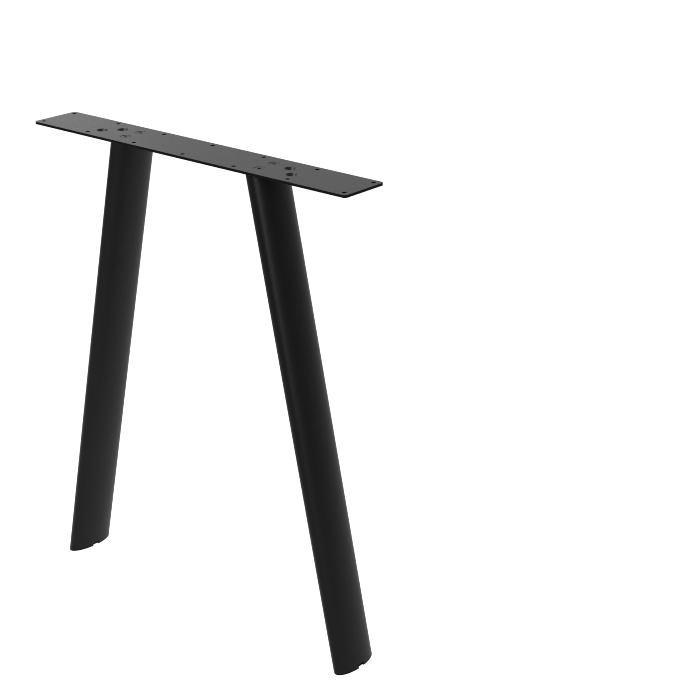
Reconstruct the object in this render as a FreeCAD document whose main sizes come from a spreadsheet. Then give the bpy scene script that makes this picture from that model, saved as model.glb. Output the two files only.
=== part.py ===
import FreeCAD, Part
import math
import os
import Sketcher

# Trestle table leg: a steel top plate on two splayed tubes of elliptical section.
# The origin is on the floor below the middle of the plate, X runs along the plate and Z is up.
# Lengths are in millimetres and angles in degrees.

SIZES = {
    # overall stance: where the tubes meet the plate, and how far each is turned, its front edge outwards
    "total_height": 720,
    "fixing_offset": 130,
    "toe_angle": 1.5,
    # top plate, which stands past the tubes by its margin at front and back, and its wood screw holes
    "plate_length": 600,
    "plate_margin": 0,
    "plate_thickness": 4,
    "plate_corner_radius": 5,
    "plate_edge_radius": 0.4,
    "table_hole_diameter": 6.5,
    "table_hole_inset": 10,
    "table_hole_columns": 7,
    # countersunk holes for the tubes: one pair straight, one pair turned
    "fixing_pitch": 30,
    "fixing_hole_diameter": 10,
    "countersink_diameter": 17,
    "countersink_angle": 90,
    "turned_fixing_offset": 173,
    "turned_fixing_angle": 45,
    # tube
    "tube_width": 80,
    "tube_depth": 32,
    "tube_wall": 2,
    "notch_width": 12,
    "notch_height": 6,
    # head plate in the tube's top end, its weld seam and the nuts below it
    "head_plate_thickness": 5,
    "head_plate_gap": 0.5,
    "weld_size": 2,
    "nut_across_flats": 13,
    "nut_height": 6.5,
    "nut_bevel": 0.8,
    # countersunk socket screws
    "screw_diameter": 8,
    "screw_length": 20,
    "screw_sink": 0.4,
    "screw_land": 0.2,
    "screw_head_clearance": 0.15,
    "screw_tip_bevel": 1,
    "thread_clearance": 0.05,
    "socket_across_flats": 5,
    "socket_depth": 3,
    # plastic foot insert: flange under the tube, plug with fins inside it
    "foot_flange": 2,
    "foot_edge_radius": 0.8,
    "plug_height": 24,
    "plug_wall": 2.5,
    "plug_floor": 2.5,
    "fin_reach": 1,
    "fin_clearance": 0.15,
    "fin_thickness": 1.2,
    "fin_start": 2,
    "fin_pitch": 5,
    "fin_count": 4,
    "notch_recess": 0.6,
}

SIDES = {"left": -1, "right": 1}
ENDS = {"front": -1, "back": 1}

# Derived measures, as expressions over the sheet. The feet stand in line with the plate's ends, which gives
# the tubes their lean, and a level cut through a leaning tube is longer than a square one.
TUBE_TOP = "(sizes.total_height - sizes.plate_thickness)"
FOOT_OFFSET = "((sizes.plate_length - sizes.tube_depth) / 2)"
LEAN = f"(({FOOT_OFFSET} - sizes.fixing_offset) / {TUBE_TOP})"
LEVEL_STRETCH = f"sqrt(1 + {LEAN} ^ 2)"
TUBE_HALF_X = f"(sizes.tube_depth / 2 * {LEVEL_STRETCH})"
TUBE_HALF_Y = "(sizes.tube_width / 2)"
BORE_HALF_X = f"((sizes.tube_depth / 2 - sizes.tube_wall) * {LEVEL_STRETCH})"
BORE_HALF_Y = "(sizes.tube_width / 2 - sizes.tube_wall)"
NUT_TOP = f"({TUBE_TOP} - sizes.head_plate_thickness)"
PLUG_HALF_X = f"({BORE_HALF_X} - sizes.fin_reach)"
PLUG_HALF_Y = f"({BORE_HALF_Y} - sizes.fin_reach)"

# What a sketch constraint calls the points of a curve, and the sketch's own origin
START, END, CENTRE = range(1, 4)
SKETCH_ORIGIN = (-1, START)

# Lengths below this count as nothing when edges are picked
TOUCH = 1e-4

doc = FreeCAD.newDocument("trestle_table_leg")


def make_sheet():
    """Writes the driving dimensions into a spreadsheet, one named cell to a row."""
    sheet = doc.addObject("Spreadsheet::Sheet", "sizes")
    for row, (alias, number) in enumerate(SIZES.items(), start=1):
        sheet.set(f"A{row}", alias)
        sheet.set(f"B{row}", str(number))
        sheet.setAlias(f"B{row}", alias)
    doc.recompute()


def bind(feature, **expressions):
    """Ties properties of a feature to expressions over the sheet."""
    for name, expression in expressions.items():
        feature.setExpression(name, expression)


def make_body(label, x="0", y="0", z="0"):
    """Starts a body whose own origin stands at the given place."""
    body = doc.addObject("PartDesign::Body", label)
    body.Label = label
    body.setExpression(".Placement.Base.x", x)
    body.setExpression(".Placement.Base.y", y)
    body.setExpression(".Placement.Base.z", z)
    return body


def make_sketch(body, name, plane="XY_Plane", height="0"):
    """Adds a sketch on one of the body's origin planes, moved along the plane's normal."""
    support = next(item for item in body.Origin.OriginFeatures if item.Role == plane)
    sketch = body.newObject("Sketcher::SketchObject", name)
    sketch.AttachmentSupport = [(support, "")]
    sketch.MapMode = "FlatFace"
    sketch.setExpression(".AttachmentOffset.Base.z", height)
    return sketch


def measure(sketch, kind, first, second, expression):
    """Adds one dimension between two points of a sketch and ties it to an expression."""
    index = sketch.addConstraint(Sketcher.Constraint(kind, *first, *second, 1.0))
    sketch.setExpression(f"Constraints[{index}]", expression)


def locate(sketch, point, across, up):
    """Holds a point of the sketch at a place measured from the sketch's origin."""
    measure(sketch, "DistanceX", SKETCH_ORIGIN, point, across)
    measure(sketch, "DistanceY", SKETCH_ORIGIN, point, up)


def draw_ellipse(sketch, side, half_x, half_y, across="0"):
    """Draws an ellipse whose longer axis is turned from the sketch's Y by that side's toe."""
    tall = Part.Ellipse(FreeCAD.Vector(0, 2, 0), FreeCAD.Vector(1, 0, 0), FreeCAD.Vector())
    ellipse = sketch.addGeometry(tall, False)
    sketch.exposeInternalGeometry(ellipse)
    major, minor = ellipse + 1, ellipse + 2
    locate(sketch, (ellipse, CENTRE), across, "0")
    downward = sketch.addConstraint(Sketcher.Constraint("Angle", major, -math.pi / 2))
    sketch.setExpression(f"Constraints[{downward}]", f"{side} * sizes.toe_angle - 90")
    measure(sketch, "Distance", (major, START), (major, END), f"2 * {half_y}")
    measure(sketch, "Distance", (minor, START), (minor, END), f"2 * {half_x}")


def draw_circle(sketch, diameter, across="0", up="0"):
    """Draws a circle of a given diameter."""
    circle = sketch.addGeometry(Part.Circle(FreeCAD.Vector(), FreeCAD.Vector(0, 0, 1), 1), False)
    locate(sketch, (circle, CENTRE), across, up)
    index = sketch.addConstraint(Sketcher.Constraint("Diameter", circle, 2.0))
    sketch.setExpression(f"Constraints[{index}]", diameter)


def draw_outline(sketch, corners):
    """Draws a closed outline of straight lines through corners given as pairs of expressions."""
    count = len(corners)
    around = FreeCAD.Rotation(FreeCAD.Vector(0, 0, 1), 360 / count)
    spot = FreeCAD.Vector(1, 0, 0)
    lines = []
    for _ in corners:
        ahead = around.multVec(spot)
        lines.append(sketch.addGeometry(Part.LineSegment(spot, ahead), False))
        spot = ahead
    for index, (across, up) in enumerate(corners):
        sketch.addConstraint(Sketcher.Constraint("Coincident", lines[index - 1], END, lines[index], START))
        locate(sketch, (lines[index], START), across, up)


def draw_rectangle(sketch, low_x, high_x, low_y, high_y):
    """Draws a rectangle between two pairs of expressions."""
    draw_outline(sketch, [(low_x, low_y), (high_x, low_y), (high_x, high_y), (low_x, high_y)])


def draw_hexagon(sketch, across_flats):
    """Draws a regular hexagon about the sketch's origin."""
    reach = f"{across_flats} / sqrt(3)"
    draw_outline(sketch, [(f"{reach} * cos({way})", f"{reach} * sin({way})") for way in range(0, 360, 60)])


def make_pad(body, sketch, name, length, **lean):
    """Pads a sketch: upwards, or along a leaning direction given by its X and Z."""
    pad = body.newObject("PartDesign::Pad", name)
    pad.Profile = sketch
    bind(pad, Length=length)
    slant(pad, **lean)
    return pad


def slant(feature, x=None, z="1"):
    """Turns a pad or pocket to a leaning direction; its length still counts along Z."""
    if x is None:
        return
    feature.UseCustomVector = True
    feature.AlongSketchNormal = True
    feature.setExpression("Direction.x", x)
    feature.setExpression("Direction.y", "0")
    feature.setExpression("Direction.z", z)


def make_pocket(body, sketch, name, length=None, **lean):
    """Cuts a sketch out of the body, to a length or through all of it in both directions."""
    pocket = body.newObject("PartDesign::Pocket", name)
    pocket.Profile = sketch
    if length is None:
        pocket.Type = "ThroughAll"
        pocket.SideType = "Symmetric"
    else:
        bind(pocket, Length=length)
    slant(pocket, **lean)
    return pocket


def flat_edges(shape, height=None, curved=False):
    """Names the level edges of a shape, or only those at one height, or only the curved ones."""
    names = []
    for number, edge in enumerate(shape.Edges, start=1):
        box = edge.BoundBox
        level = box.ZLength < TOUCH and (height is None or abs(box.ZMin - height) < TOUCH)
        straight = edge.Curve.TypeId == "Part::GeomLine"
        if level and not (curved and straight):
            names.append(f"Edge{number}")
    return names


def upright_edges(shape):
    """Names the vertical edges of a shape."""
    boxes = [edge.BoundBox for edge in shape.Edges]
    return [
        f"Edge{number}"
        for number, box in enumerate(boxes, start=1)
        if box.XLength < TOUCH and box.YLength < TOUCH
    ]


def dress(body, kind, name, base, edges, size, expression):
    """Adds a fillet or chamfer on named edges of the feature before it."""
    feature = body.newObject(f"PartDesign::{kind}", name)
    feature.Base = (base, edges)
    feature.setExpression(size, expression)
    doc.recompute()
    return feature


def turn(body, kind, profile, name):
    """Revolves a profile about the body's upright axis, as material or as a cut."""
    feature = body.newObject(f"PartDesign::{kind}", name)
    feature.Profile = profile
    feature.ReferenceAxis = (profile, ["V_Axis"])
    feature.Angle = 360
    return feature


def make_cut(label, base, tool):
    """Takes one solid away from another."""
    cut = doc.addObject("Part::Cut", label)
    cut.Label = label
    cut.Base = base
    cut.Tool = tool
    return cut


def build_top_plate():
    """Flat plate with a row of wood screw holes along each edge and countersunk pairs for the tubes."""
    body = make_body("top_plate", z="sizes.total_height")
    half_x, half_y = "sizes.plate_length / 2", f"({TUBE_HALF_Y} + sizes.plate_margin)"

    outline = make_sketch(body, "plate_outline")
    draw_rectangle(outline, f"-{half_x}", half_x, f"-{half_y}", half_y)
    plate = make_pad(body, outline, "plate", "sizes.plate_thickness", x="0", z="-1")
    doc.recompute()
    corners = dress(body, "Fillet", "plate_corners", plate, upright_edges(plate.Shape),
                    "Radius", "sizes.plate_corner_radius")
    dress(body, "Fillet", "plate_edges", corners, flat_edges(corners.Shape),
          "Radius", "sizes.plate_edge_radius")

    table_holes = make_sketch(body, "table_hole_pair")
    for end in ENDS.values():
        draw_circle(table_holes, "sizes.table_hole_diameter",
                    f"sizes.table_hole_inset - {half_x}", f"{end} * ({half_y} - sizes.table_hole_inset)")
    pair = make_pocket(body, table_holes, "table_hole_cut")
    row = body.newObject("PartDesign::LinearPattern", "table_hole_rows")
    row.Originals = [pair]
    row.Direction = (table_holes, ["H_Axis"])
    bind(row, Length="sizes.plate_length - 2 * sizes.table_hole_inset",
         Occurrences="sizes.table_hole_columns")
    body.Tip = row
    doc.recompute()

    fixings = make_sketch(body, "fixing_centres")
    half = "sizes.fixing_pitch / 2"
    angle = "sizes.turned_fixing_angle"
    for side in SIDES.values():
        for end in ENDS.values():
            draw_circle(fixings, "sizes.fixing_hole_diameter",
                        f"{side} * sizes.fixing_offset", f"{end} * {half}")
            draw_circle(fixings, "sizes.fixing_hole_diameter",
                        f"{side} * (sizes.turned_fixing_offset - {end} * {half} * sin({angle}))",
                        f"{end} * {half} * cos({angle})")
    doc.recompute()
    hole = body.newObject("PartDesign::Hole", "fixing_holes")
    hole.Profile = fixings
    doc.recompute()
    hole.DepthType = "ThroughAll"
    hole.HoleCutType = "Countersink"
    hole.HoleCutCustomValues = True
    bind(hole, Diameter="sizes.fixing_hole_diameter", HoleCutDiameter="sizes.countersink_diameter",
         HoleCutCountersinkAngle="sizes.countersink_angle")
    return body


def build_leg_tube(name, side):
    """Tube of elliptical section, cut level at both ends, with a notch in both broad faces at the foot."""
    body = make_body(f"{name}_leg_tube", x=f"{side} * sizes.fixing_offset", z=TUBE_TOP)
    section = make_sketch(body, f"{name}_tube_section")
    draw_ellipse(section, side, TUBE_HALF_X, TUBE_HALF_Y)
    draw_ellipse(section, side, BORE_HALF_X, BORE_HALF_Y)
    make_pad(body, section, f"{name}_tube", f"{TUBE_TOP} - sizes.foot_flange",
             x=f"{side} * {LEAN}", z="-1")
    notch = make_sketch(body, f"{name}_tube_notch", plane="YZ_Plane")
    draw_rectangle(notch, "-sizes.notch_width / 2", "sizes.notch_width / 2",
                   f"-{TUBE_TOP}", f"sizes.notch_height - {TUBE_TOP}")
    make_pocket(body, notch, f"{name}_tube_notch_cut")
    return body


def build_head(name, side):
    """Plate that closes the tube's top end, and the seam that welds it in, ground level with the tube."""
    place = {"x": f"{side} * sizes.fixing_offset", "z": TUBE_TOP}
    drift = f"sizes.head_plate_thickness / 2 * {LEAN}"

    blank = make_body(f"{name}_head_blank", **place)
    outline = make_sketch(blank, f"{name}_head_outline")
    draw_ellipse(outline, side, f"({BORE_HALF_X} - sizes.head_plate_gap - {drift})",
                 f"({BORE_HALF_Y} - sizes.head_plate_gap)", across=f"{side} * {drift}")
    plate = make_pad(blank, outline, f"{name}_head", "sizes.head_plate_thickness", x="0", z="-1")
    doc.recompute()
    dress(blank, "Chamfer", f"{name}_head_bevel", plate, flat_edges(plate.Shape, height=0),
          "Size", "sizes.weld_size")

    drills = make_body(f"{name}_head_drills", **place)
    centres = make_sketch(drills, f"{name}_head_hole_centres")
    for end in ENDS.values():
        draw_circle(centres, "sizes.fixing_hole_diameter", up=f"{end} * sizes.fixing_pitch / 2")
    make_pad(drills, centres, f"{name}_head_holes", "sizes.head_plate_thickness", x="0", z="-1")

    bead = make_body(f"{name}_weld_bead", **place)
    section = make_sketch(bead, f"{name}_weld_section")
    draw_ellipse(section, side, BORE_HALF_X, BORE_HALF_Y)
    make_pad(bead, section, f"{name}_weld", "sizes.weld_size", x=f"{side} * {LEAN}", z="-1")

    return [make_cut(f"{name}_head_plate", blank, drills), make_cut(f"{name}_head_weld", bead, blank)]


def build_weld_nut(label, side, end):
    """Hexagon nut welded under the head plate, its lower corners bevelled."""
    body = make_body(label, x=f"{side} * sizes.fixing_offset", y=f"{end} * sizes.fixing_pitch / 2",
                     z=NUT_TOP)
    outline = make_sketch(body, f"{label}_outline")
    draw_hexagon(outline, "sizes.nut_across_flats")
    make_pad(body, outline, f"{label}_hexagon", "sizes.nut_height", x="0", z="-1")

    flat, corner = "sizes.nut_across_flats / 2", "sizes.nut_across_flats"
    bevel = make_sketch(body, f"{label}_bevel_profile", plane="XZ_Plane")
    draw_outline(bevel, [
        (flat, "-sizes.nut_height"),
        (corner, "-sizes.nut_height"),
        (corner, f"sizes.nut_bevel * ({corner} - {flat}) / ({flat} * (2 / sqrt(3) - 1)) - sizes.nut_height"),
    ])
    turn(body, "Groove", bevel, f"{label}_bevel")

    bore = make_sketch(body, f"{label}_bore")
    draw_circle(bore, "sizes.screw_diameter + 2 * sizes.thread_clearance")
    make_pocket(body, bore, f"{label}_bore_cut")
    return body


def build_screw(label, side, end):
    """Countersunk socket screw, its head just below the plate's top face."""
    body = make_body(label, x=f"{side} * sizes.fixing_offset", y=f"{end} * sizes.fixing_pitch / 2",
                     z="sizes.total_height")
    cone = "tan(sizes.countersink_angle / 2)"
    mouth = "(sizes.countersink_diameter / 2 - sizes.screw_head_clearance)"
    shank = "sizes.screw_diameter / 2"
    land = "(sizes.screw_sink + sizes.screw_land)"
    rim = f"{mouth} - {land} * {cone}"
    profile = make_sketch(body, f"{label}_profile", plane="XZ_Plane")
    draw_outline(profile, [
        ("0", "-sizes.screw_sink"),
        (rim, "-sizes.screw_sink"),
        (rim, f"-{land}"),
        (shank, f"-({mouth} - {shank}) / {cone}"),
        (shank, "sizes.screw_tip_bevel - sizes.screw_length"),
        (f"{shank} - sizes.screw_tip_bevel", "-sizes.screw_length"),
        ("0", "-sizes.screw_length"),
    ])
    turn(body, "Revolution", profile, f"{label}_turned")

    socket = make_sketch(body, f"{label}_socket")
    draw_hexagon(socket, "sizes.socket_across_flats")
    make_pocket(body, socket, f"{label}_socket_cut", "sizes.screw_sink + sizes.socket_depth")
    return body


def build_foot_insert(name, side):
    """Plastic insert: a flange under the tube's end and a hollow plug with fins that grip its bore."""
    body = make_body(f"{name}_foot_insert", x=f"{side} * {FOOT_OFFSET}")
    upward = {"x": f"-{side} * {LEAN}", "z": "1"}

    def level_section(part, height, half_x, half_y):
        """Draws a level section of the leaning insert at one height."""
        sketch = make_sketch(body, f"{name}_foot_{part}", height=height)
        draw_ellipse(sketch, side, half_x, half_y, across=f"-{side} * {LEAN} * ({height})")
        return sketch

    rim = level_section("rim", "0", TUBE_HALF_X, TUBE_HALF_Y)
    make_pad(body, rim, f"{name}_foot_flange", "sizes.foot_flange", **upward)
    core = level_section("core", "sizes.foot_flange", PLUG_HALF_X, PLUG_HALF_Y)
    make_pad(body, core, f"{name}_foot_plug", "sizes.plug_height", **upward)

    ridge = level_section("ridge", "sizes.notch_height + sizes.fin_start",
                          f"({BORE_HALF_X} - sizes.fin_clearance)", f"({BORE_HALF_Y} - sizes.fin_clearance)")
    fin = make_pad(body, ridge, f"{name}_foot_fin", "sizes.fin_thickness", **upward)
    axis = make_sketch(body, f"{name}_foot_axis", plane="XZ_Plane")
    line = axis.addGeometry(Part.LineSegment(FreeCAD.Vector(), FreeCAD.Vector(0, 1, 0)), False)
    locate(axis, (line, START), "0", "0")
    locate(axis, (line, END), f"-{side} * {LEAN} * sizes.plug_height", "sizes.plug_height")
    doc.recompute()
    fins = body.newObject("PartDesign::LinearPattern", f"{name}_foot_fins")
    fins.Originals = [fin]
    fins.Direction = (axis, ["Edge1"])
    fins.Mode = "Spacing"
    bind(fins, Offset="sizes.fin_pitch", Occurrences="sizes.fin_count")
    body.Tip = fins
    doc.recompute()

    top = "sizes.foot_flange + sizes.plug_height"
    hollow = level_section("hollow", top, f"({PLUG_HALF_X} - sizes.plug_wall)",
                           f"({PLUG_HALF_Y} - sizes.plug_wall)")
    make_pocket(body, hollow, f"{name}_foot_hollow_cut", f"{top} - sizes.notch_height - sizes.plug_floor",
                x=f"{side} * {LEAN}", z="-1")

    recess = make_sketch(body, f"{name}_foot_recess")
    for face in SIDES.values():
        draw_rectangle(recess, f"{face} * ({PLUG_HALF_X} - sizes.notch_recess)", f"{face} * sizes.tube_depth",
                       "-sizes.notch_width / 2", "sizes.notch_width / 2")
    make_pocket(body, recess, f"{name}_foot_recess_cut", "sizes.notch_height", **upward)
    doc.recompute()
    carved = body.Tip
    dress(body, "Fillet", f"{name}_foot_edge", carved, flat_edges(carved.Shape, height=0, curved=True),
          "Radius", "sizes.foot_edge_radius")
    return body


def build_leg(name, side):
    """One splayed leg: tube, welded head, its screws and nuts, and the foot insert."""
    parts = [build_leg_tube(name, side), build_foot_insert(name, side)]
    parts += build_head(name, side)
    for end_name, end in ENDS.items():
        parts.append(build_screw(f"{name}_{end_name}_screw", side, end))
        parts.append(build_weld_nut(f"{name}_{end_name}_weld_nut", side, end))
    return parts


def check_and_export(parts):
    """Stops on a failed feature or a bad solid, then writes each piece to its own file."""
    doc.recompute()
    failed = [item.Name for item in doc.Objects if {"Invalid", "Error"} & set(item.State)]
    if failed:
        raise RuntimeError(f"these features failed: {failed}")
    for part in parts:
        shape = part.Shape
        if shape.isNull() or not shape.isValid() or len(shape.Solids) != 1:
            raise RuntimeError(f"{part.Label} is not one sound solid")
    os.makedirs("parts", exist_ok=True)
    for part in parts:
        part.Shape.exportStep(f"parts/{part.Label}.step")
        print(f"{part.Label}: {part.Shape.Volume:.0f} cubic mm")


make_sheet()
pieces = [build_top_plate()]
for side_label, side_sign in SIDES.items():
    pieces += build_leg(side_label, side_sign)
check_and_export(pieces)
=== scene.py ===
import math

import bmesh
import bpy
from mathutils import Matrix, Vector


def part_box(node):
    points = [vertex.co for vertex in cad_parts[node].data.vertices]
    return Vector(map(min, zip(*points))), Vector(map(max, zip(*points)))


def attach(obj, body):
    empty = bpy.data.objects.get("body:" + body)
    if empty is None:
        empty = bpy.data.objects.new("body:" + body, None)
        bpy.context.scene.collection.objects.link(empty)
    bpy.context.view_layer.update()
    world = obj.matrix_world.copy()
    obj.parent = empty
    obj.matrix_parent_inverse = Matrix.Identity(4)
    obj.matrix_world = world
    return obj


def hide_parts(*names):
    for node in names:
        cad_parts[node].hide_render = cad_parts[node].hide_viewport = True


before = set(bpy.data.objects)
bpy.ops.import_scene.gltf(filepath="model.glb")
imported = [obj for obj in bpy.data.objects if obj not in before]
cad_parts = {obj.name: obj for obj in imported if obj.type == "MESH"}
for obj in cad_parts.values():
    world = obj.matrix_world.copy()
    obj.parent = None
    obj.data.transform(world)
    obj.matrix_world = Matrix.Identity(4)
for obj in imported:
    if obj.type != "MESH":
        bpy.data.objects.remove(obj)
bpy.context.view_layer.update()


# Materials: small helpers for a node tree

NOISE_LOW = 0.3
NOISE_HIGH = 0.7


def new_material(name):
    """Starts a material and returns it with its nodes, its links and its surface shader."""
    material = bpy.data.materials.new(name)
    material.use_nodes = True
    nodes = material.node_tree.nodes
    return material, nodes, material.node_tree.links, nodes["Principled BSDF"]


def mottle(nodes, links, scale, detail):
    """Noise over the piece's own space, in features of about 1 / scale metres."""
    place = nodes.new("ShaderNodeTexCoord")
    noise = nodes.new("ShaderNodeTexNoise")
    noise.inputs["Scale"].default_value = scale
    noise.inputs["Detail"].default_value = detail
    links.new(place.outputs["Object"], noise.inputs["Vector"])
    return noise.outputs["Fac"]


def map_range(nodes, links, source, start, stop, low, high):
    """Runs from low to high while a value runs from start to stop."""
    step = nodes.new("ShaderNodeMapRange")
    step.inputs["From Min"].default_value = start
    step.inputs["From Max"].default_value = stop
    step.inputs["To Min"].default_value = low
    step.inputs["To Max"].default_value = high
    links.new(source, step.inputs["Value"])
    return step.outputs["Result"]


def spread(nodes, links, source, low, high):
    """Maps the middle of a noise's range to run from low to high."""
    return map_range(nodes, links, source, NOISE_LOW, NOISE_HIGH, low, high)


def grey(level):
    """The colour of a plain grey."""
    return level, level, level


def shade(nodes, links, source, dark, light):
    """Colours a noise between two greys or tints."""
    ramp = nodes.new("ShaderNodeValToRGB")
    ramp.color_ramp.elements[0].position = NOISE_LOW
    ramp.color_ramp.elements[0].color = (*dark, 1)
    ramp.color_ramp.elements[1].position = NOISE_HIGH
    ramp.color_ramp.elements[1].color = (*light, 1)
    links.new(source, ramp.inputs["Fac"])
    return ramp.outputs["Color"]


def relief(nodes, links, source, depth, below=None):
    """Raises a noise as fine relief of a given depth in metres, over another relief."""
    bump = nodes.new("ShaderNodeBump")
    bump.inputs["Strength"].default_value = 1.0
    bump.inputs["Distance"].default_value = depth
    links.new(source, bump.inputs["Height"])
    if below is not None:
        links.new(below, bump.inputs["Normal"])
    return bump.outputs["Normal"]


def climb(nodes, links, place, direction, start, stop, low, high):
    """Runs from low to high while a place moves along a direction from start to stop."""
    toward = nodes.new("ShaderNodeVectorMath")
    toward.operation = "DOT_PRODUCT"
    toward.inputs[1].default_value = direction
    links.new(place, toward.inputs[0])
    return map_range(nodes, links, toward.outputs["Value"], start, stop, low, high)


def combine(nodes, links, operation, first, second):
    """Joins two values by a plain operation."""
    result = nodes.new("ShaderNodeMath")
    result.operation = operation
    links.new(first, result.inputs[0])
    links.new(second, result.inputs[1])
    return result.outputs["Value"]


COAT_GLOSS = 0.14
CUT_EDGE_GLOSS = 0.05
CUT_EDGE_SLOPE = 0.6


def powder_coat(name):
    """Matt black powder coat: fine grain over a long soft orange peel."""
    material, nodes, links, shader = new_material(name)
    grain = mottle(nodes, links, 2600, 2)
    peel = mottle(nodes, links, 420, 2)
    cloud = mottle(nodes, links, 14, 3)
    links.new(shade(nodes, links, cloud, grey(0.0012), grey(0.0018)), shader.inputs["Base Color"])
    links.new(spread(nodes, links, peel, 0.42, 0.45), shader.inputs["Roughness"])
    under = relief(nodes, links, peel, 0.00001)
    links.new(relief(nodes, links, grain, 0.000006, under), shader.inputs["Normal"])
    shader.inputs["Specular IOR Level"].default_value = COAT_GLOSS
    return material


def cut_plate_coat():
    """Powder coat on cut plate: duller on the upright edges and in the holes than on the level faces."""
    material = powder_coat("black_plate_coat")
    nodes, links = material.node_tree.nodes, material.node_tree.links
    facing = nodes.new("ShaderNodeTexCoord").outputs["Normal"]
    above, below = [climb(nodes, links, facing, (0, 0, way), 0, CUT_EDGE_SLOPE, CUT_EDGE_GLOSS, COAT_GLOSS)
                    for way in (1, -1)]
    links.new(combine(nodes, links, "MAXIMUM", above, below),
              nodes["Principled BSDF"].inputs["Specular IOR Level"])
    return material


def moulded_plastic():
    """Black moulded plastic with a fine spark-eroded texture."""
    material, nodes, links, shader = new_material("black_moulded_plastic")
    grain = mottle(nodes, links, 3200, 4)
    cloud = mottle(nodes, links, 60, 2)
    links.new(shade(nodes, links, cloud, grey(0.0010), grey(0.0016)), shader.inputs["Base Color"])
    links.new(spread(nodes, links, grain, 0.55, 0.70), shader.inputs["Roughness"])
    links.new(relief(nodes, links, grain, 0.00003), shader.inputs["Normal"])
    shader.inputs["Specular IOR Level"].default_value = 0.06
    return material


def black_oxide():
    """Blackened steel of the screws."""
    material, nodes, links, shader = new_material("black_oxide_steel")
    grain = mottle(nodes, links, 2400, 3)
    cloud = mottle(nodes, links, 260, 3)
    links.new(shade(nodes, links, cloud, grey(0.003), grey(0.006)), shader.inputs["Base Color"])
    links.new(spread(nodes, links, grain, 0.42, 0.52), shader.inputs["Roughness"])
    links.new(relief(nodes, links, grain, 0.00001), shader.inputs["Normal"])
    shader.inputs["Specular IOR Level"].default_value = 0.15
    return material


def inner_steel(name, dark, light, metallic, roughness, depth):
    """Steel that the closed tube hides: thinly coated sheet, ground weld or bright zinc."""
    material, nodes, links, shader = new_material(name)
    grain = mottle(nodes, links, 1500, 4)
    cloud = mottle(nodes, links, 180, 3)
    links.new(shade(nodes, links, cloud, dark, light), shader.inputs["Base Color"])
    links.new(spread(nodes, links, grain, *roughness), shader.inputs["Roughness"])
    links.new(relief(nodes, links, grain, depth), shader.inputs["Normal"])
    shader.inputs["Metallic"].default_value = metallic
    return material


def finish(node, material):
    """Gives a solid its finish."""
    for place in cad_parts[node].material_slots:
        place.material = material


def dress_solids():
    """Gives every solid its finish, and every screw and nut its thread."""
    coat = powder_coat("black_powder_coat")
    plastic = moulded_plastic()
    oxide = black_oxide()
    sheet = inner_steel("thin_coat", (0.044, 0.044, 0.046), (0.056, 0.056, 0.058), 0, (0.42, 0.58), 0.00002)
    seam = inner_steel("ground_weld", (0.050, 0.050, 0.052), (0.070, 0.070, 0.072), 0, (0.34, 0.50), 0.00004)
    zinc = inner_steel("bright_zinc", (0.48, 0.48, 0.47), (0.62, 0.62, 0.61), 1, (0.22, 0.38), 0.00001)
    finish("top_plate", cut_plate_coat())
    for side in ("left", "right"):
        finish(f"{side}_leg_tube", coat)
        finish(f"{side}_foot_insert", plastic)
        finish(f"{side}_head_plate", sheet)
        finish(f"{side}_head_weld", seam)
        for end in ("front", "back"):
            screw, nut = f"{side}_{end}_screw", f"{side}_{end}_weld_nut"
            turn_screw(screw, oxide)
            turn_nut(nut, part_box(screw)[0][2], zinc)


# Screws and nuts, with the thread that a plain solid leaves out. Lengths are in metres, and reaches are
# measured from the axis.

AROUND = 48
THREAD_PITCH = 0.00125
THREAD_ROOT = 0.00333
THREAD_CREST = 0.00400
THREAD_PLAY = 0.00004
TIP_BEVEL = 0.001
SOCKET_FLAT = 0.0025
SOCKET_MOUTH = 0.0031
SOCKET_DEPTH = 0.003
SOCKET_BEVEL = 0.00035
NUT_BEVEL = 0.0008
RIM_BREAK = 0.0002
SHARP_ANGLE = math.radians(28)
SAME_PLACE = 1e-6

# The thread's profile over one pitch, as reaches and shares of the pitch
THREAD_PROFILE = (
    (THREAD_ROOT, 0),
    (THREAD_CREST, 3 / 8),
    (THREAD_CREST, 4 / 8),
    (THREAD_ROOT, 7 / 8),
    (THREAD_ROOT, 1),
)


def hexagon_reach(angle, flat):
    """How far a hexagon reaches at an angle, given half its width across the flats."""
    sixth = math.pi / 3
    return flat / math.cos(angle % sixth - sixth / 2)


def wind_thread(bm, low, high, start, play=0.0):
    """Winds a thread about the Z axis and cuts it level at both ends. A root lies at the start height."""
    first = start + math.floor((low - start) / THREAD_PITCH - 1) * THREAD_PITCH
    turns = math.ceil((high - first) / THREAD_PITCH) + 1
    points = [bm.verts.new((reach + play, 0, first + share * THREAD_PITCH)) for reach, share in THREAD_PROFILE]
    lines = [bm.edges.new(pair) for pair in zip(points, points[1:])]
    bmesh.ops.spin(bm, geom=points + lines, cent=(0, 0, 0), axis=(0, 0, 1), dvec=(0, 0, THREAD_PITCH / AROUND),
                   angle=math.tau * turns, steps=AROUND * turns, use_merge=False, use_duplicate=False)
    bmesh.ops.remove_doubles(bm, verts=bm.verts[:], dist=SAME_PLACE)
    for height, outward in ((low, -1), (high, 1)):
        bmesh.ops.bisect_plane(bm, geom=bm.verts[:] + bm.edges[:] + bm.faces[:], dist=1e-7,
                               plane_co=(0, 0, height), plane_no=(0, 0, outward), clear_outer=True)


def open_edges(bm, height):
    """The open edges of a mesh at one height."""
    return [edge for edge in bm.edges
            if edge.is_boundary and all(abs(vert.co.z - height) < SAME_PLACE for vert in edge.verts)]


def add_ring(bm, radius, height):
    """Adds a level ring about the Z axis and returns its edges."""
    place = Matrix.Translation((0, 0, height))
    ring = bmesh.ops.create_circle(bm, cap_ends=False, segments=AROUND, radius=radius, matrix=place)
    return list({edge for vert in ring["verts"] for edge in vert.link_edges})


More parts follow.
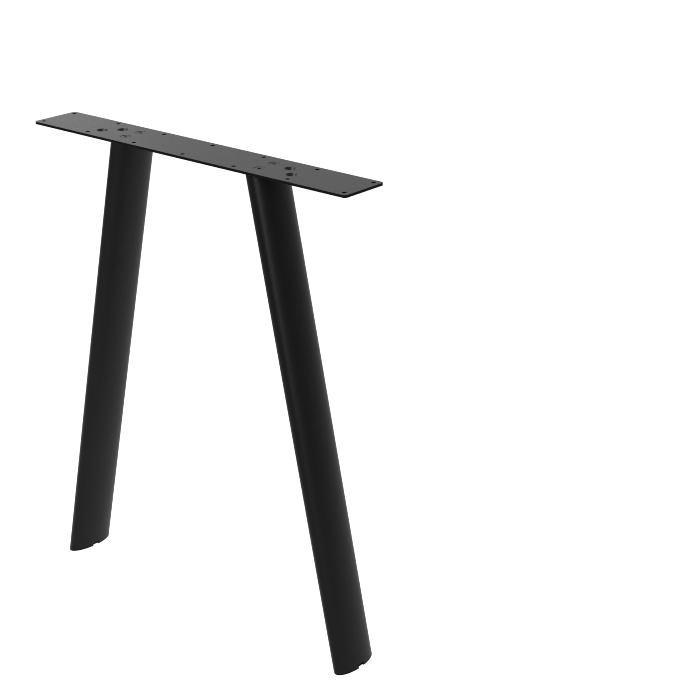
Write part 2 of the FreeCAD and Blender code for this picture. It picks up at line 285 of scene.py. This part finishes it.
def draw_ring(bm, edges, height, radius=None, flat=None):
    """Draws a ring out to a new height as a circle or a hexagon, and returns its new edges."""
    grown = bmesh.ops.extrude_edge_only(bm, edges=edges)["geom"]
    for vert in grown:
        if isinstance(vert, bmesh.types.BMVert):
            angle = math.atan2(vert.co.y, vert.co.x)
            reach = radius if flat is None else hexagon_reach(angle, flat)
            vert.co = (reach * math.cos(angle), reach * math.sin(angle), height)
    return [edge for edge in grown if isinstance(edge, bmesh.types.BMEdge)]


def close_ring(bm, edges, height):
    """Closes a ring to a point on the Z axis."""
    cap = bmesh.ops.extrude_edge_only(bm, edges=edges)["geom"]
    bmesh.ops.pointmerge(bm, verts=[item for item in cap if isinstance(item, bmesh.types.BMVert)],
                         merge_co=(0, 0, height))


def stand_in(name, bm, node, material):
    """Makes a mesh turned about the Z axis into the piece that is shown for a small fastener."""
    low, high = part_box(node)
    bmesh.ops.recalc_face_normals(bm, faces=bm.faces[:])
    bmesh.ops.translate(bm, verts=bm.verts[:], vec=((low[0] + high[0]) / 2, (low[1] + high[1]) / 2, 0))
    for face in bm.faces:
        face.smooth = True
    for edge in bm.edges:
        edge.smooth = edge.calc_face_angle(0) < SHARP_ANGLE
    mesh = bpy.data.meshes.new(name)
    bm.to_mesh(mesh)
    bm.free()
    mesh.materials.append(material)
    piece = bpy.data.objects.new(name, mesh)
    bpy.context.collection.objects.link(piece)
    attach(piece, "root")
    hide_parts(node)


def turn_screw(node, material):
    """Countersunk socket screw with its thread, in the place of its plain solid."""
    low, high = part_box(node)
    head = (high[0] - low[0]) / 2
    base, top = low[2], high[2]
    neck = top - (head - THREAD_CREST) - RIM_BREAK
    bm = bmesh.new()
    wind_thread(bm, base, neck - THREAD_PITCH, base)
    for vert in bm.verts:
        reach = math.hypot(vert.co.x, vert.co.y)
        shrink = min(1.0, (THREAD_CREST - TIP_BEVEL + vert.co.z - base) / reach)
        vert.co.x, vert.co.y = vert.co.x * shrink, vert.co.y * shrink
    close_ring(bm, open_edges(bm, base), base)
    collar = add_ring(bm, THREAD_CREST, neck - THREAD_PITCH / 2)
    bmesh.ops.bridge_loops(bm, edges=collar + open_edges(bm, neck - THREAD_PITCH))
    outer = draw_ring(bm, collar, neck, radius=THREAD_CREST)
    outer = draw_ring(bm, outer, top - RIM_BREAK, radius=head)
    outer = draw_ring(bm, outer, top, radius=head - RIM_BREAK)
    inner = draw_ring(bm, outer, top, radius=SOCKET_MOUTH)
    inner = draw_ring(bm, inner, top - SOCKET_BEVEL, flat=SOCKET_FLAT)
    inner = draw_ring(bm, inner, top - SOCKET_DEPTH, flat=SOCKET_FLAT)
    inner = draw_ring(bm, inner, top - SOCKET_DEPTH, radius=SOCKET_FLAT)
    close_ring(bm, inner, top - SOCKET_DEPTH - SOCKET_FLAT / 2)
    stand_in(f"threaded_{node}", bm, node, material)


def turn_nut(node, start, material):
    """Weld nut with its thread, in step with the screw's, in the place of its plain solid."""
    low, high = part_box(node)
    base, top = low[2], high[2]
    flat, corner = (high[1] - low[1]) / 2, (high[0] - low[0]) / 2
    mouth = THREAD_CREST + THREAD_PLAY + RIM_BREAK
    bm = bmesh.new()
    wind_thread(bm, base + RIM_BREAK, top - RIM_BREAK, start, THREAD_PLAY)
    for face, inward in ((base, RIM_BREAK), (top, -RIM_BREAK)):
        ring = add_ring(bm, mouth, face)
        bmesh.ops.bridge_loops(bm, edges=ring + open_edges(bm, face + inward))
    side = draw_ring(bm, open_edges(bm, base), base, radius=flat)
    side = draw_ring(bm, side, base, flat=flat)
    for vert in {vert for edge in side for vert in edge.verts}:
        vert.co.z += NUT_BEVEL * (math.hypot(vert.co.x, vert.co.y) - flat) / (corner - flat)
    side = draw_ring(bm, side, top, flat=flat)
    bmesh.ops.bridge_loops(bm, edges=side + [edge for edge in open_edges(bm, top) if edge not in side])
    stand_in(f"threaded_{node}", bm, node, material)


# Studio. Places are in metres and powers in watts.

FLOOR_REACH = 30
LENS = 82.402
SENSOR_WIDTH = 36
CAMERA_PLACE = (1.543406, -1.547303, 1.300825)
CAMERA_TURN = (67.9428, -0.2070, 39.4081)
FILM_FILTER = 1.0


def lay_floor():
    """A wide white floor with painted light: its own glow, not a lamp, keeps shadows faint, is brighter in
    front than behind and fades to the front left and the right.
    """
    mesh = bpy.data.meshes.new("studio_floor")
    bm = bmesh.new()
    bmesh.ops.create_grid(bm, x_segments=1, y_segments=1, size=FLOOR_REACH)
    bm.to_mesh(mesh)
    bm.free()
    floor = bpy.data.objects.new("studio_floor", mesh)
    bpy.context.collection.objects.link(floor)
    material, nodes, links, shader = new_material("self_lit_white_floor")
    cloud = mottle(nodes, links, 2.5, 2)
    links.new(shade(nodes, links, cloud, grey(0.157), grey(0.163)), shader.inputs["Base Color"])
    shader.inputs["Roughness"].default_value = 0.9
    shader.inputs["Specular IOR Level"].default_value = 0.0
    place = nodes.new("ShaderNodeTexCoord").outputs["Object"]
    # Painted light: the floor's glow is strongest just in front of the legs, where it washes out their shadows
    # and sets what they reflect.
    behind = climb(nodes, links, place, (0, 1, 0), -0.3, 0.3, 1.08, 0.84)
    front_left = climb(nodes, links, place, (-0.62, -0.78, 0), 0.9, 2.7, 1.0, 0.14)
    right = climb(nodes, links, place, (1, 0, 0), 0.7, 2.4, 1.0, 0.25)
    sides = combine(nodes, links, "MULTIPLY", front_left, right)
    glow = combine(nodes, links, "MULTIPLY", sides, behind)
    shader.inputs["Emission Color"].default_value = (1, 1, 1, 1)
    links.new(glow, shader.inputs["Emission Strength"])
    mesh.materials.append(material)


def hang_sky():
    """Soft light from all round, brighter from the left and from overhead."""
    world = bpy.data.worlds.new("studio_light")
    bpy.context.scene.world = world
    world.use_nodes = True
    nodes, links = world.node_tree.nodes, world.node_tree.links
    direction = nodes.new("ShaderNodeTexCoord").outputs["Generated"]
    level = climb(nodes, links, direction, (-0.98, 0.20, 0), -1, 1, 0.0, 1.25)
    upright = climb(nodes, links, direction, (0, 0, 1), -1, 1, -0.8, 0.8)
    links.new(combine(nodes, links, "ADD", level, upright), nodes["Background"].inputs["Strength"])
    nodes["Background"].inputs["Color"].default_value = (1, 1, 1, 1)


def hang_soft_box(name, place, aim, width, height, power):
    """Hangs a soft box at a place, turned to face a point of the leg."""
    box = bpy.data.lights.new(name, "AREA")
    box.shape = "RECTANGLE"
    box.size = width
    box.size_y = height
    box.energy = power
    lamp = bpy.data.objects.new(name, box)
    lamp.location = place
    lamp.rotation_euler = (Vector(aim) - lamp.location).to_track_quat("-Z", "Y").to_euler()
    bpy.context.collection.objects.link(lamp)


def set_camera():
    """Sets up the camera, which looks down on the leg from the front right."""
    lens = bpy.data.cameras.new("camera")
    lens.lens = LENS
    lens.sensor_width = SENSOR_WIDTH
    camera = bpy.data.objects.new("camera", lens)
    camera.location = CAMERA_PLACE
    camera.rotation_euler = [math.radians(angle) for angle in CAMERA_TURN]
    bpy.context.collection.objects.link(camera)
    bpy.context.scene.camera = camera


dress_solids()
lay_floor()
hang_sky()
hang_soft_box("strip_light", (2.35, -0.85, 1.15), aim=(0.16, -0.035, 0.6), width=0.3, height=1.2, power=26)
hang_soft_box("back_light", (-2.55, 1.02, 1.25), aim=(-0.3, 0, 0.72), width=1.85, height=0.9, power=5.8)
hang_soft_box("key_light", (-0.78, -0.74, 2.64), aim=(0, 0, 0.72), width=0.8, height=0.8, power=60)
set_camera()
bpy.context.scene.view_settings.view_transform = "Standard"
bpy.context.scene.cycles.filter_width = FILM_FILTER
